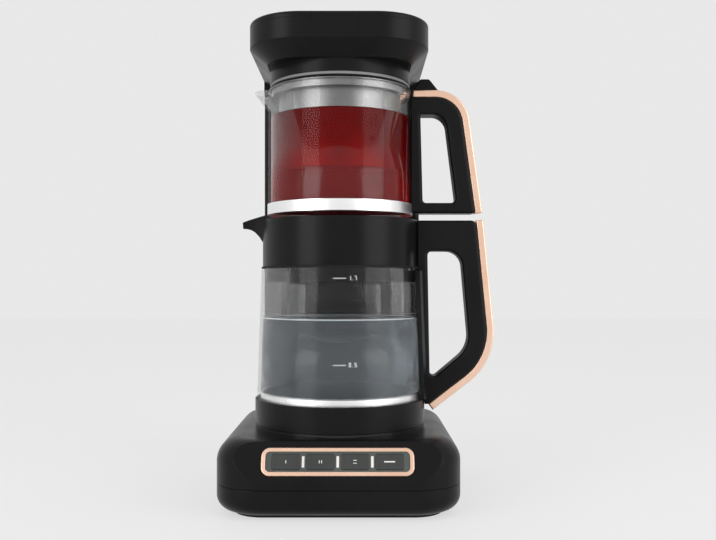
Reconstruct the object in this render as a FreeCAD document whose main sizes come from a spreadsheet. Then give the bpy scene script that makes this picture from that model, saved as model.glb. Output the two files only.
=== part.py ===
import FreeCAD, Part
import math
import os
import re
import Sketcher

# Automatic tea maker: a C-shaped machine body (base, tower and head), a glass kettle
# that slides into it, and a glass teapot that stands on the kettle under the head.
# Millimetres, +Z up. The origin lies on the resting plane, on the axis of both pots.
# The control panel looks to -Y, the pot handles to +X and the spouts to -X.

# Driving dimensions. Each name is a cell of the sheet.
SIZES = {
    # machine body
    "shell_wall": 2.5,
    "fit_gap": 0.3,
    "base_half_width": 100.5,
    "base_front": 95,
    "machine_back": 122,
    "base_corner": 40,
    "base_back_corner": 30,
    "base_shoulder": 20,
    "foot_height": 3,
    "foot_width": 8,
    "foot_inset": 15,
    "tray_round": 12,
    "seam_height": 25,
    "seam_bevel": 0.8,
    "base_top": 62,
    "facet_foot": 31,
    "panel_slope": 65,
    "machine_half_width": 76,
    "tower_front_face": 79,
    "tower_split": 104,
    "tower_corner": 14,
    "tower_edge": 4,
    "hose_bay_half_width": 46,
    # inside the base
    "board_left": -80,
    "board_width": 58,
    "board_length": 56,
    "board_post_height": 4.5,
    "pump_x": 20,
    "pump_y": 36,
    "pump_z": 27,
    "pump_radius": 15,
    "motor_radius": 13,
    "hose_radius": 4,
    "hose_bore": 2.5,
    "gland_x": -60,
    "gland_height": 14,
    "gland_radius": 5,
    "gland_bore": 3.6,
    # dock at the foot of the tower
    "dock_rise": 8.5,
    "dock_flange_margin": 16,
    "dock_flange_thickness": 2.2,
    "dock_flange_height": 12,
    "plug_middle": -8,
    "plug_width": 19.4,
    "plug_height": 6.4,
    "plug_reach": 15,
    "stub_width": 16,
    "stub_height": 5,
    "pin_radius": 1.2,
    "pin_pitch": 5,
    "nipple_x": 12,
    "nipple_radius": 3.4,
    "nipple_bore": 2,
    "socket_front": 56,
    "socket_clearance": 0.8,
    # head
    "head_front": 77,
    "head_corner": 45,
    "neck_clearance": 5.6,
    "neck_height": 11,
    "bevel_height": 12.5,
    "head_band_height": 16.5,
    "head_cover_height": 5,
    "head_top_round": 2.5,
    "head_bevel": 14.5,
    "neck_radius": 62,
    "neck_wall": 4,
    "seal_height": 2.2,
    "shower_thickness": 1.6,
    "shower_hole": 3,
    "spray_cup_radius": 34,
    "spray_cup_height": 9,
    # control panel, measured on the sloped face
    "panel_width": 121,
    "panel_height": 22.6,
    "panel_corner": 7,
    "bezel_width": 3.2,
    "bezel_height": 1.8,
    "inlay_thickness": 1.0,
    "key_gap": 5.3,
    "key_margin": 1.9,
    "key_rise": 0.5,
    "key_travel": 1.2,
    "key_flange": 1.2,
    "key_flange_thickness": 1.2,
    "key_stem": 6,
    "light_width": 2,
    "light_height": 9,
    "board_thickness": 1.6,
    "switch_height": 1.0,
    # pots
    "platform_radius": 74.5,
    "platform_thickness": 2.7,
    "ring_radius": 75,
    "ring_height": 22,
    "ring_wall": 2.5,
    "ledge_drop": 5,
    "ledge_thickness": 2.5,
    "ledge_width": 10,
    "kettle_floor_thickness": 2.5,
    "glass_foot_radius": 73.6,
    "glass_top_radius": 69.5,
    "glass_wall": 3,
    "kettle_glass_height": 116.5,
    "gasket_thickness": 1.5,
    "plate_seal_thickness": 2,
    "plate_thickness": 1.5,
    "plate_rise": 11.5,
    "plate_edge": 1.5,
    "collar_radius": 68.4,
    "collar_wall": 3,
    "collar_height": 41,
    "collar_skirt": 12,
    "seat_thickness": 3,
    "mouth_radius": 50,
    "lip_height": 3.5,
    "spreader_radius": 46,
    "spreader_thickness": 3.5,
    "element_radius": 38,
    "element_tube": 4,
    "thermostat_height": 9,
    "outlet_radius": 51,
    "outlet_tube": 4,
    "outlet_bore": 3,
    "spout_length": 17.6,
    "spout_half_width": 22,
    "spout_tip_half_width": 6,
    "spout_tip_drop": 1.8,
    "spout_tip_depth": 7,
    "spout_root_depth": 27,
    "spout_wall": 2,
    "teapot_radius": 63.5,
    "teapot_wall": 2.5,
    "teapot_bottom": 5.7,
    "teapot_height": 113.1,
    "teapot_lip_reach": 12.5,
    "teapot_lip_depth": 17,
    "teapot_lip_radius": 16,
    "band_height": 9.5,
    "band_rise": 4.2,
    "band_thickness": 0.7,
    "basket_radius": 54,
    "basket_depth": 72,
    "basket_wall": 0.8,
    "basket_flange": 5.5,
    "basket_hole": 2.6,
    # handles, reaching out from their pots
    "handle_width": 22,
    "handle_edge": 3.2,
    "strip_thickness": 6.5,
    "strip_width": 17,
    "strip_edge": 1.2,
    "teapot_handle_drop": 4.8,
    "handle_parting": 6,
    "teapot_shoulder_reach": 41.7,
    "teapot_heel_reach": 55.8,
    "teapot_handle_bend": 24,
    "teapot_grip": 16,
    "kettle_shoulder_reach": 51.7,
    "kettle_elbow_reach": 63.4,
    "kettle_elbow_height": 57.4,
    "kettle_heel_reach": 3,
    "kettle_heel_height": 16,
    "kettle_handle_bend": 50,
    "kettle_grip": 17.5,
    "kettle_grip_foot": 20.5,
    "bracket_thickness": 7.6,
    "bracket_clearance": 4,
    "saddle_angle": 40,
    "saddle_thickness": 4,
    "thumb_height": 10,
    "thumb_width": 13,
}

# Heights and radii that follow from the driving dimensions.
DERIVED = {
    "facet_run": "(base_top - facet_foot) / tan(panel_slope)",
    "platform_top": "base_top + platform_thickness",
    "kettle_foot": "platform_top + fit_gap",
    "ring_top": "kettle_foot + ring_height",
    "ledge_top": "ring_top - ledge_drop",
    "ledge_bottom": "ledge_top - ledge_thickness",
    "ring_lip": "glass_foot_radius + fit_gap",
    "glass_bottom": "ledge_top + plate_seal_thickness",
    "kettle_glass_top": "glass_bottom + kettle_glass_height",
    "plate_radius": "glass_foot_radius - glass_wall - 2 * fit_gap",
    "plate_top": "ledge_top + plate_rise",
    "spreader_bottom": "plate_top - plate_thickness - spreader_thickness",
    "collar_bottom": "kettle_glass_top + gasket_thickness",
    "collar_top": "collar_bottom + collar_height",
    "spout_reach": "collar_radius + spout_length",
    "skirt_radius": "glass_top_radius - glass_wall - 2 * fit_gap",
    "collar_inner": "collar_radius - collar_wall",
    "teapot_foot": "collar_top + fit_gap",
    "teapot_rim": "teapot_foot + teapot_height",
    "teapot_handle_top": "teapot_rim - teapot_handle_drop",
    "teapot_handle_bottom": "teapot_foot + handle_parting",
    "neck_bottom": "teapot_rim + neck_clearance",
    "head_floor": "neck_bottom + neck_height",
    "head_band_bottom": "head_floor + bevel_height",
    "head_cover_bottom": "head_band_bottom + head_band_height",
    "head_top": "head_cover_bottom + head_cover_height",
    "teapot_inner": "teapot_radius - teapot_wall",
    "band_foot": "teapot_foot + band_rise",
    "band_radius": "teapot_radius + 0.1 + band_thickness",
    "lip_inner": "band_radius + fit_gap",
    "seal_bottom": "neck_bottom - seal_height",
    "neck_inner": "neck_radius - neck_wall",
    "cup_bottom": "neck_bottom + shower_thickness",
    "cup_top": "cup_bottom + spray_cup_height",
    "inlay_width": "panel_width - 2 * bezel_width",
    "inlay_height": "panel_height - 2 * bezel_width",
    "key_width": "(inlay_width - 5 * key_gap) / 4",
    "key_pitch": "key_width + key_gap",
    "key_height": "inlay_height - 2 * key_margin",
    "board_rest": "key_rise + key_travel + key_flange_thickness + switch_height + 5",
    "dock_height": "kettle_foot + dock_rise",
    "tray_floor": "foot_height + shell_wall",
}

doc = FreeCAD.newDocument("tea_maker")
sheet = doc.addObject("Spreadsheet::Sheet", "Sizes")
for row, (alias, plain_number) in enumerate(SIZES.items(), 1):
    sheet.set("A%d" % row, alias)
    sheet.set("B%d" % row, str(plain_number))
    sheet.setAlias("B%d" % row, alias)
doc.recompute()

nodes = []


def bound(formula):
    """Turn a plain formula into an expression on the sheet's cells."""
    def swap(match):
        word = match.group(0)
        if word in DERIVED:
            return "(" + bound(DERIVED[word]) + ")"
        if word in SIZES:
            return "Sizes." + word
        return word
    return re.sub(r"[a-z_]+", swap, str(formula))


def size(formula):
    """The value of a plain formula, in millimetres or degrees."""
    return float(sheet.evalExpression(bound(formula)))


def keep(thing, label):
    """Name a finished sub-part and list it for export."""
    thing.Label = label
    nodes.append(thing)
    return thing


def new_body(label):
    body = doc.addObject("PartDesign::Body", label + "_body")
    body.Label = label
    return body


def polygon(body, plane, points, shift="0"):
    """A sketch of straight sides whose corners are bound to the sheet."""
    sketch = body.newObject("Sketcher::SketchObject", body.Name + "_outline")
    support = [f for f in body.Origin.OriginFeatures if f.Role == plane][0]
    sketch.AttachmentSupport = [(support, "")]
    sketch.MapMode = "FlatFace"
    sketch.setExpression("AttachmentOffset.Base.z", bound(shift))
    spots = [FreeCAD.Vector(size(a), size(b), 0) for a, b in points]
    count = len(spots)
    for i in range(count):
        sketch.addGeometry(Part.LineSegment(spots[i], spots[(i + 1) % count]))
    for i in range(count):
        sketch.addConstraint(Sketcher.Constraint("Coincident", i, 2, (i + 1) % count, 1))
    for i, (across, up) in enumerate(points):
        for kind, formula, value in (
            ("DistanceX", across, spots[i].x),
            ("DistanceY", up, spots[i].y),
        ):
            number = sketch.addConstraint(Sketcher.Constraint(kind, -1, 1, i, 1, value))
            sketch.setExpression("Constraints[%d]" % number, bound(formula))
    return sketch


def turned(label, points, angle="360"):
    """A body turned about the pot axis from corners given as (radius, height)."""
    body = new_body(label)
    sketch = polygon(body, "XZ_Plane", points)
    turn = body.newObject("PartDesign::Revolution", label + "_turn")
    turn.Profile = sketch
    turn.ReferenceAxis = (sketch, ["V_Axis"])
    turn.Midplane = True
    turn.setExpression("Angle", bound(angle))
    body.Tip = turn
    return body


def padded(label, points, start, length, plane="XY_Plane", centred=False):
    """A body padded from an outline, from start along the plane's normal."""
    body = new_body(label)
    sketch = polygon(body, plane, points, start)
    pad = body.newObject("PartDesign::Pad", label + "_pad")
    pad.Profile = sketch
    pad.setExpression("Length", bound(length))
    pad.Midplane = centred
    body.Tip = pad
    return body


def rounded(body, radius, wanted):
    """Round the edges of a body that the test picks."""
    doc.recompute()
    base = body.Tip
    fillet = body.newObject("PartDesign::Fillet", body.Name + "_round")
    fillet.Base = (base, ["Edge%d" % i for i, e in enumerate(base.Shape.Edges, 1) if wanted(e)])
    fillet.setExpression("Radius", bound(radius))
    body.Tip = fillet
    return body


def bevelled(body, depth, wanted):
    """Bevel the edges of a body that the test picks."""
    doc.recompute()
    base = body.Tip
    bevel = body.newObject("PartDesign::Chamfer", body.Name + "_bevel")
    bevel.Base = (base, ["Edge%d" % i for i, e in enumerate(base.Shape.Edges, 1) if wanted(e)])
    bevel.setExpression("Size", bound(depth))
    body.Tip = bevel
    return body


def is_upright(edge):
    """Whether an edge is a straight vertical line."""
    return edge.BoundBox.XLength < 0.01 and edge.BoundBox.YLength < 0.01


def edges_at_height(formula):
    """A test for edges that lie in one level plane."""
    height = size(formula)

    def wanted(edge):
        box = edge.BoundBox
        return abs(box.ZMin - height) < 0.01 and abs(box.ZMax - height) < 0.01
    return wanted


def round_edges_at(radius, height):
    """A test for the full circle of this radius and height about the pot axis."""
    far, level = size(radius), size(height)

    def wanted(edge):
        box = edge.BoundBox
        same_height = abs(box.ZMin - level) < 0.01 and abs(box.ZMax - level) < 0.01
        return same_height and abs(box.XMax - far) < 0.01
    return wanted


def slab(label, half_width, front, back, bottom, top, front_round=None, back_round=None):
    """A block with rounded vertical edges, between two heights."""
    corners = [
        ("-(%s)" % half_width, "-(%s)" % front),
        (half_width, "-(%s)" % front),
        (half_width, back),
        ("-(%s)" % half_width, back),
    ]
    body = padded(label, corners, bottom, "(%s) - (%s)" % (top, bottom))
    middle = (size(back) - size(front)) / 2

    def corner_on(side):
        def wanted(edge):
            return is_upright(edge) and (edge.BoundBox.Center.y - middle) * side > 0
        return wanted
    if front_round:
        rounded(body, front_round, corner_on(-1))
    if back_round:
        rounded(body, back_round, corner_on(1))
    return body


def place(thing, x="0", y="0", z="0", axis=None, angle=0):
    """Put a primitive in its place, bound to the sheet."""
    if axis:
        thing.Placement.Rotation = FreeCAD.Rotation(FreeCAD.Vector(*axis), angle)
    for name, formula in (("x", x), ("y", y), ("z", z)):
        thing.setExpression("Placement.Base." + name, bound(formula))
    return thing


ALONG_X = ((0, 1, 0), 90)
ALONG_Y = ((1, 0, 0), -90)


def rod(label, radius, length, x="0", y="0", z="0", turn=None):
    """A cylinder that starts at a point and runs up, or along X or Y."""
    thing = doc.addObject("Part::Cylinder", label)
    thing.setExpression("Radius", bound(radius))
    thing.setExpression("Height", bound(length))
    return place(thing, x, y, z, *(turn or (None, 0)))


def block(label, x, y, z, x_size, y_size, z_size):
    """A box from its lowest corner."""
    thing = doc.addObject("Part::Box", label)
    thing.setExpression("Length", bound(x_size))
    thing.setExpression("Width", bound(y_size))
    thing.setExpression("Height", bound(z_size))
    return place(thing, x, y, z)


def joined(label, pieces):
    fuse = doc.addObject("Part::MultiFuse", label)
    fuse.Shapes = pieces
    return fuse


def cut(label, base, tools):
    """Base less every tool."""
    piece = doc.addObject("Part::Cut", label)
    piece.Base = base
    piece.Tool = tools[0] if len(tools) == 1 else joined(label + "_tools", tools)
    return piece


def group(label, pieces):
    """Separate solids that share one node."""
    compound = doc.addObject("Part::Compound", label)
    compound.Links = pieces
    return compound


def solid(label, shape):
    """A sub-part whose shape is worked out in code from the sheet's sizes."""
    thing = doc.addObject("Part::Feature", label)
    thing.Shape = shape
    return thing


def rounded_path(points, radii, closed):
    """Lines through the points in the XZ plane, with an arc at each corner."""
    spots = [FreeCAD.Vector(x, 0, z) for x, z in points]
    count = len(spots)
    edges = []
    ends = []
    for i, spot in enumerate(spots):
        before, after = spots[i - 1], spots[(i + 1) % count]
        radius = radii[i]
        if radius == 0 or (not closed and i in (0, count - 1)):
            ends.append((spot, None, spot))
            continue
        back = (before - spot).normalize()
        on = (after - spot).normalize()
        half = back.getAngle(on) / 2
        reach = radius / math.tan(half)
        middle = spot + (back + on).normalize() * (radius / math.sin(half) - radius)
        ends.append((spot + back * reach, middle, spot + on * reach))
    for i, (start, middle, stop) in enumerate(ends):
        if middle:
            edges.append(Part.Arc(start, middle, stop).toShape())
        if i < count - 1 or closed:
            edges.append(Part.LineSegment(stop, ends[(i + 1) % count][0]).toShape())
    return Part.Wire(edges)


def thick_profile(wires, width):
    """A face in the XZ plane, first wire less the others, made thick about y = 0."""
    face = Part.Face(wires[0])
    for hole in wires[1:]:
        face = face.cut(Part.Face(hole))
    slab_shape = face.extrude(FreeCAD.Vector(0, width, 0))
    slab_shape.translate(FreeCAD.Vector(0, -width / 2, 0))
    return slab_shape


def softened(shape, radius):
    """The same thick profile with the edges of its two flat faces rounded."""
    flat_edges = [e for e in shape.Edges if e.BoundBox.YLength < 0.001]
    return shape.makeFillet(radius, flat_edges)


def tube(points, bend, outer, bore):
    """A hose through the points: straight runs joined by tangent arcs."""
    spots = [FreeCAD.Vector(*p) for p in points]
    edges = []
    last = spots[0]
    for before, spot, after in zip(spots, spots[1:], spots[2:]):
        back = (before - spot).normalize()
        on = (after - spot).normalize()
        half = back.getAngle(on) / 2
        reach = bend / math.tan(half)
        middle = spot + (back + on).normalize() * (bend / math.sin(half) - bend)
        edges.append(Part.LineSegment(last, spot + back * reach).toShape())
        edges.append(Part.Arc(spot + back * reach, middle, spot + on * reach).toShape())
        last = spot + on * reach
    edges.append(Part.LineSegment(last, spots[-1]).toShape())
    path = Part.Wire(edges)
    heading = spots[1] - spots[0]
    swept = []
    for radius in (outer, bore):
        section = Part.Wire(Part.makeCircle(radius, spots[0], heading))
        swept.append(path.makePipeShell([section], True, True))
    return swept[0].cut(swept[1])


# Machine body
def base_tray():
    """Lower half of the base: an open tray with screw posts and board posts."""
    outer = slab("tray_outer", "base_half_width", "base_front", "machine_back",
                 "foot_height", "seam_height", "base_corner", "base_back_corner")
    rounded(outer, "tray_round", edges_at_height("foot_height"))
    bevelled(outer, "seam_bevel", edges_at_height("seam_height"))
    inner = slab("tray_inner", "base_half_width - shell_wall", "base_front - shell_wall",
                 "machine_back - shell_wall", "tray_floor", "seam_height + 1",
                 "base_corner - shell_wall", "base_back_corner - shell_wall")
    rounded(inner, "tray_round - shell_wall", edges_at_height("tray_floor"))
    posts = []
    holes = [rod("gland_hole", "gland_radius + fit_gap", "8 * shell_wall", "gland_x",
                 "machine_back - 4 * shell_wall", "gland_height", ALONG_Y)]
    for i, (x, y) in enumerate(screw_spots()):
        posts.append(rod("tray_post_%d" % i, "5", "seam_height - tray_floor", x, y, "tray_floor"))
        holes.append(rod("tray_screw_hole_%d" % i, "1.8", "seam_height", x, y, "0"))
        holes.append(rod("tray_head_hole_%d" % i, "3.5", "3", x, y, "foot_height - 0.1"))
    for i, (x, y) in enumerate(board_posts()):
        posts.append(rod("board_post_%d" % i, "3", "board_post_height", x, y, "tray_floor"))
    shell = cut("tray_shell", outer, [inner])
    keep(cut("tray", joined("tray_with_posts", [shell] + posts), holes), "base_tray")


def screw_spots():
    """Where the four base screws go up through the tray."""
    return [("%d * (base_half_width - 28.5)" % side, y)
            for side in (-1, 1) for y in ("-base_front + 45", "machine_back - 36")]


def board_posts():
    """Corners of the power board."""
    return [(x, y) for x in ("board_left", "board_left + board_width")
            for y in ("-board_length / 2", "board_length / 2")]


def facet_cut(label, inward):
    """The wedge in front of the sloped control face, set back by inward."""
    across = "(%s) / sin(panel_slope)" % inward
    body = padded(label, [
        ("-base_front - 20", "facet_foot - 20 * tan(panel_slope)"),
        ("-base_front + %s" % across, "facet_foot"),
        ("-base_front + %s + facet_run * 1.5" % across,
         "facet_foot + (base_top - facet_foot) * 1.5"),
        ("-base_front - 20", "facet_foot + (base_top - facet_foot) * 1.5"),
    ], "0", "3 * base_half_width", "YZ_Plane", True)
    return body


def on_panel(thing, across="0", up="0", out="0"):
    """Turn a piece made flat so that it lies on the sloped control face."""
    slope = size("panel_slope")
    turn = FreeCAD.Rotation(FreeCAD.Vector(1, 0, 0), slope)
    middle = FreeCAD.Vector(0, size("-base_front + facet_run / 2 - 0.6 * cos(panel_slope)"),
                            size("(facet_foot + base_top) / 2 - 0.6 * sin(panel_slope)"))
    shift = FreeCAD.Vector(size(across), size(up), size(out))
    for name in "xyz":
        thing.setExpression("Placement.Base." + name, None)
    thing.Placement = FreeCAD.Placement(middle + turn.multVec(shift), turn)
    return thing


def panel_slab(label, width, height, bottom, top, corner=None):
    """A flat rounded plate in the panel's own frame, centred on the panel."""
    body = slab(label, "(%s) / 2" % width, "(%s) / 2" % height, "(%s) / 2" % height,
                bottom, top, corner, corner)
    return body


def base_housing():
    """Upper half of the base with the sloped control face and the tower's plinth."""
    outer = slab("housing_outer", "base_half_width", "base_front", "machine_back",
                 "seam_height", "base_top", "base_corner", "base_back_corner")
    rounded(outer, "base_shoulder", edges_at_height("base_top"))
    faced = cut("housing_faced", outer, [facet_cut("facet_outer", "0")])
    plinth = slab("tower_plinth", "machine_half_width", "-tower_front_face", "machine_back",
                  "seam_height + shell_wall", "base_top", "tower_edge", "tower_corner")
    plinth_core = slab("plinth_core", "machine_half_width - shell_wall",
                       "-tower_front_face - shell_wall", "machine_back - shell_wall",
                       "seam_height", "base_top - shell_wall", None,
                       "tower_corner - shell_wall")
    inner = slab("housing_inner", "base_half_width - shell_wall", "base_front - shell_wall",
                 "machine_back - shell_wall", "seam_height - 1", "base_top - shell_wall",
                 "base_corner - shell_wall", "base_back_corner - shell_wall")
    rounded(inner, "base_shoulder - shell_wall", edges_at_height("base_top - shell_wall"))
    hollow = cut("housing_hollow", inner, [facet_cut("facet_inner", "shell_wall")])
    shell = cut("housing_shell", joined("housing_mass", [faced, plinth]), [hollow, plinth_core])
    posts = []
    bores = [block("hose_way", "-hose_bay_half_width", "tower_front_face + 4", "base_top - 10",
                   "2 * hose_bay_half_width", "machine_back - tower_front_face - 10", "20")]
    for i, (x, y) in enumerate(screw_spots()):
        posts.append(rod("housing_post_%d" % i, "5", "base_top - seam_height - 1.5",
                         x, y, "seam_height"))
        bores.append(rod("housing_bore_%d" % i, "1.5", "14", x, y, "seam_height - 1"))
    window = panel_slab("panel_window", "inlay_width - 6", "key_height + 2 * key_flange + 1",
                        "-4 * shell_wall", "shell_wall")
    bores.append(on_panel(window))
    for i, side in enumerate((-1, 1)):
        post = rod("key_board_post_%d" % i, "2.5", "board_rest - shell_wall + 0.1")
        posts.append(on_panel(post, "%d * (inlay_width / 2 - 4)" % side, "0",
                              "-board_rest"))
    whole = joined("housing_with_posts", [shell] + posts)
    keep(cut("housing", whole, bores), "base_housing")


def foot_strip():
    """Rubber strip round the underside of the tray."""
    outer = slab("foot_outer", "base_half_width - foot_inset", "base_front - foot_inset",
                 "machine_back - foot_inset", "0", "foot_height",
                 "base_corner - foot_inset", "base_back_corner - foot_inset")
    inner = slab("foot_inner", "base_half_width - foot_inset - foot_width",
                 "base_front - foot_inset - foot_width", "machine_back - foot_inset - foot_width",
                 "-1", "foot_height + 1", "base_corner - foot_inset - foot_width",
                 "base_back_corner - foot_inset - foot_width")
    keep(cut("foot", outer, [inner]), "foot_strip")


def pot_platform():
    plate = rod("platform", "platform_radius", "platform_thickness", z="base_top")
    keep(plate, "pot_platform")


def control_panel():
    """Frame, window plate, four keys with their switches, and the lights between."""
    frame = panel_slab("bezel_outer", "panel_width", "panel_height", "0", "bezel_height",
                       "panel_corner")
    rounded(frame, "0.7", edges_at_height("bezel_height"))
    hole = panel_slab("bezel_inner", "inlay_width", "inlay_height", "-1", "bezel_height + 1",
                      "panel_corner - bezel_width")
    bezel = cut("bezel", frame, [hole])
    keep(on_panel(bezel), "panel_bezel")

    plate = panel_slab("inlay_plate", "inlay_width - 0.2", "inlay_height - 0.2", "0",
                       "inlay_thickness", "panel_corner - bezel_width - 0.1")
    openings = []
    keys = []
    switches = []
    lights = []
    for i in range(4):
        across = "%g * key_pitch" % (i - 1.5)
        opening = panel_slab("key_opening_%d" % i, "key_width + 2 * fit_gap",
                             "key_height + 2 * fit_gap", "-1", "inlay_thickness + 1", "1.8")
        opening.setExpression("Placement.Base.x", bound(across))
        openings.append(opening)
        cap = panel_slab("key_cap_%d" % i, "key_width", "key_height", "-fit_gap",
                         "inlay_thickness + key_rise", "1.5")
        rounded(cap, "0.4", edges_at_height("inlay_thickness + key_rise"))
        flange = panel_slab("key_flange_%d" % i, "key_width + 2 * key_flange",
                            "key_height + 2 * key_flange",
                            "-fit_gap - key_flange_thickness", "-fit_gap")
        stem = panel_slab("key_stem_%d" % i, "key_stem", "key_stem",
                          "-board_rest + switch_height + key_travel + fit_gap",
                          "-fit_gap - key_flange_thickness")
        key = joined("key_shape_%d" % i, [cap, flange, stem])
        keys.append((key, across))
        switch = panel_slab("switch_%d" % i, "key_stem", "key_stem", "-board_rest",
                            "-board_rest + switch_height")
        switches.append(on_panel(switch, across))
    for i in range(3):
        across = "%g * key_pitch" % (i - 1)
        bar = panel_slab("light_bar_%d" % i, "light_width", "light_height", "0",
                         "inlay_thickness + 0.15")
        slot = panel_slab("light_slot_%d" % i, "light_width + 0.1", "light_height + 0.1", "-1",
                          "inlay_thickness + 1")
        slot.setExpression("Placement.Base.x", bound(across))
        openings.append(slot)
        lights.append(on_panel(bar, across))
    keep(on_panel(cut("inlay", plate, openings)), "panel_inlay")
    for i, (key, across) in enumerate(keys, 1):
        keep(on_panel(key, across), "key_%d" % i)
    keep(group("lights", lights), "key_lights")
    keep(group("switches", switches), "key_switches")
    board = panel_slab("key_board_plate", "inlay_width", "key_height + 8",
                       "-board_rest - board_thickness", "-board_rest")
    keep(on_panel(board), "key_board")


def electronics():
    """Power board on its posts, with the parts that stand on it."""
    bottom = "tray_floor + board_post_height"
    top = bottom + " + board_thickness"
    keep(block("power_board_plate", "board_left - 4", "-board_length / 2 - 4", bottom,
               "board_width + 8", "board_length + 8", "board_thickness"), "power_board")
    keep(group("parts_on_board", [
        block("transformer", "board_left + 6", "-22", top, "26", "22", "20"),
        block("relay", "board_left + 6", "8", top, "19", "15", "15"),
        rod("capacitor_left", "6", "18", "board_left + 44", "-14", top),
        rod("capacitor_right", "6", "18", "board_left + 44", "4", top),
        block("terminal_block", "board_left + 36", "16", top, "20", "9", "12"),
    ]), "board_parts")


def pump():
    """Pump and motor on one axis along X, held in a cradle on the tray."""
    x, y, z = "pump_x", "pump_y", "pump_z"
    head = rod("pump_head", "pump_radius", "22", x + " + 0.2", y, z, ALONG_X)
    outlet = rod("pump_outlet", "hose_radius - 0.2", "24", x + " + 11", y, z, ALONG_Y)
    inlet = rod("pump_inlet", "hose_radius - 0.2", "34", x + " + 0.2", y, z, ALONG_X)
    keep(joined("pump", [head, outlet, inlet]), "water_pump")
    keep(rod("motor", "motor_radius", "36", x + " - 36", y, z, ALONG_X), "pump_motor")
    seat = block("cradle_block", x + " - 26", y + " - 18", "tray_floor", "44", "36",
                 z + " - tray_floor - hose_radius - 1")
    keep(cut("cradle", seat, [
        rod("cradle_motor_way", "motor_radius + 0.1", "60", x + " - 50", y, z, ALONG_X),
        rod("cradle_pump_way", "pump_radius + 0.1", "60", x + " + 0.1", y, z, ALONG_X),
    ]), "pump_cradle")


def hoses():
    """Suction hose from the dock to the pump, and riser hose up to the spray cup."""
    x, y, z = size("pump_x"), size("pump_y"), size("pump_z")
    outer, bore = size("hose_radius"), size("hose_bore")
    outlet_end = y + 24
    top = size("(head_band_bottom + head_cover_bottom) / 2 + 1")
    bay = size("(tower_front_face + machine_back) / 2 + 2")
    riser = tube([
        (x + 11, outlet_end, z),
        (x + 11, bay, z),
        (x + 11, bay, top),
        (0, 0, top),
        (0, 0, size("cup_top + 6")),
    ], 9, outer, bore)
    keep(solid("riser", riser), "riser_hose")
    dock = size("dock_height")
    low = size("tray_floor + 8.5")
    start = size("tower_front_face + 13")
    nipple = size("nipple_x")
    suction = tube([
        (nipple, start, dock),
        (nipple, start + 11, dock),
        (nipple, start + 11, low),
        (x + 40, start + 11, low),
        (x + 40, y, z),
        (x + 34.2, y, z),
    ], 5.5, outer, bore)
    keep(solid("suction", suction), "suction_hose")


def dock():
    """Plug block, pins and water nipple on the foot of the tower."""
    face = "tower_front_face"
    flange = block("dock_flange", "plug_middle - dock_flange_margin",
                   face + " - dock_flange_thickness", "dock_height - dock_flange_height / 2",
                   "nipple_x - plug_middle + 1.5 * dock_flange_margin", "dock_flange_thickness",
                   "dock_flange_height")
    nose = block("dock_nose", "plug_middle - plug_width / 2", face + " - plug_reach",
                 "dock_height - plug_height / 2", "plug_width", "plug_reach - 2", "plug_height")
    stub = block("dock_stub", "plug_middle - stub_width / 2", face + " - 1",
                 "dock_height - stub_height / 2", "stub_width", "14", "stub_height")
    holes = [rod("nipple_way", "nipple_radius + 0.1", "30", "nipple_x", face + " - 10",
                 "dock_height", ALONG_Y)]
    pins = []
    for i in range(3):
        x = "plug_middle + %d * pin_pitch" % (i - 1)
        holes.append(rod("pin_way_%d" % i, "pin_radius + 0.05", "30", x,
                         face + " - plug_reach - 1", "dock_height", ALONG_Y))
        pins.append(rod("pin_%d" % i, "pin_radius", "28", x, face + " - plug_reach - 3",
                        "dock_height", ALONG_Y))
    keep(cut("plug", joined("plug_mass", [flange, nose, stub]), holes), "dock_plug")
    keep(group("pins", pins), "dock_pins")
    pipe = rod("nipple_pipe", "nipple_radius", "26", "nipple_x", face + " - 13", "dock_height",
               ALONG_Y)
    bore = rod("nipple_way_through", "nipple_bore", "30", "nipple_x", face + " - 15",
               "dock_height", ALONG_Y)
    keep(cut("nipple", pipe, [bore]), "water_nipple")


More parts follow.
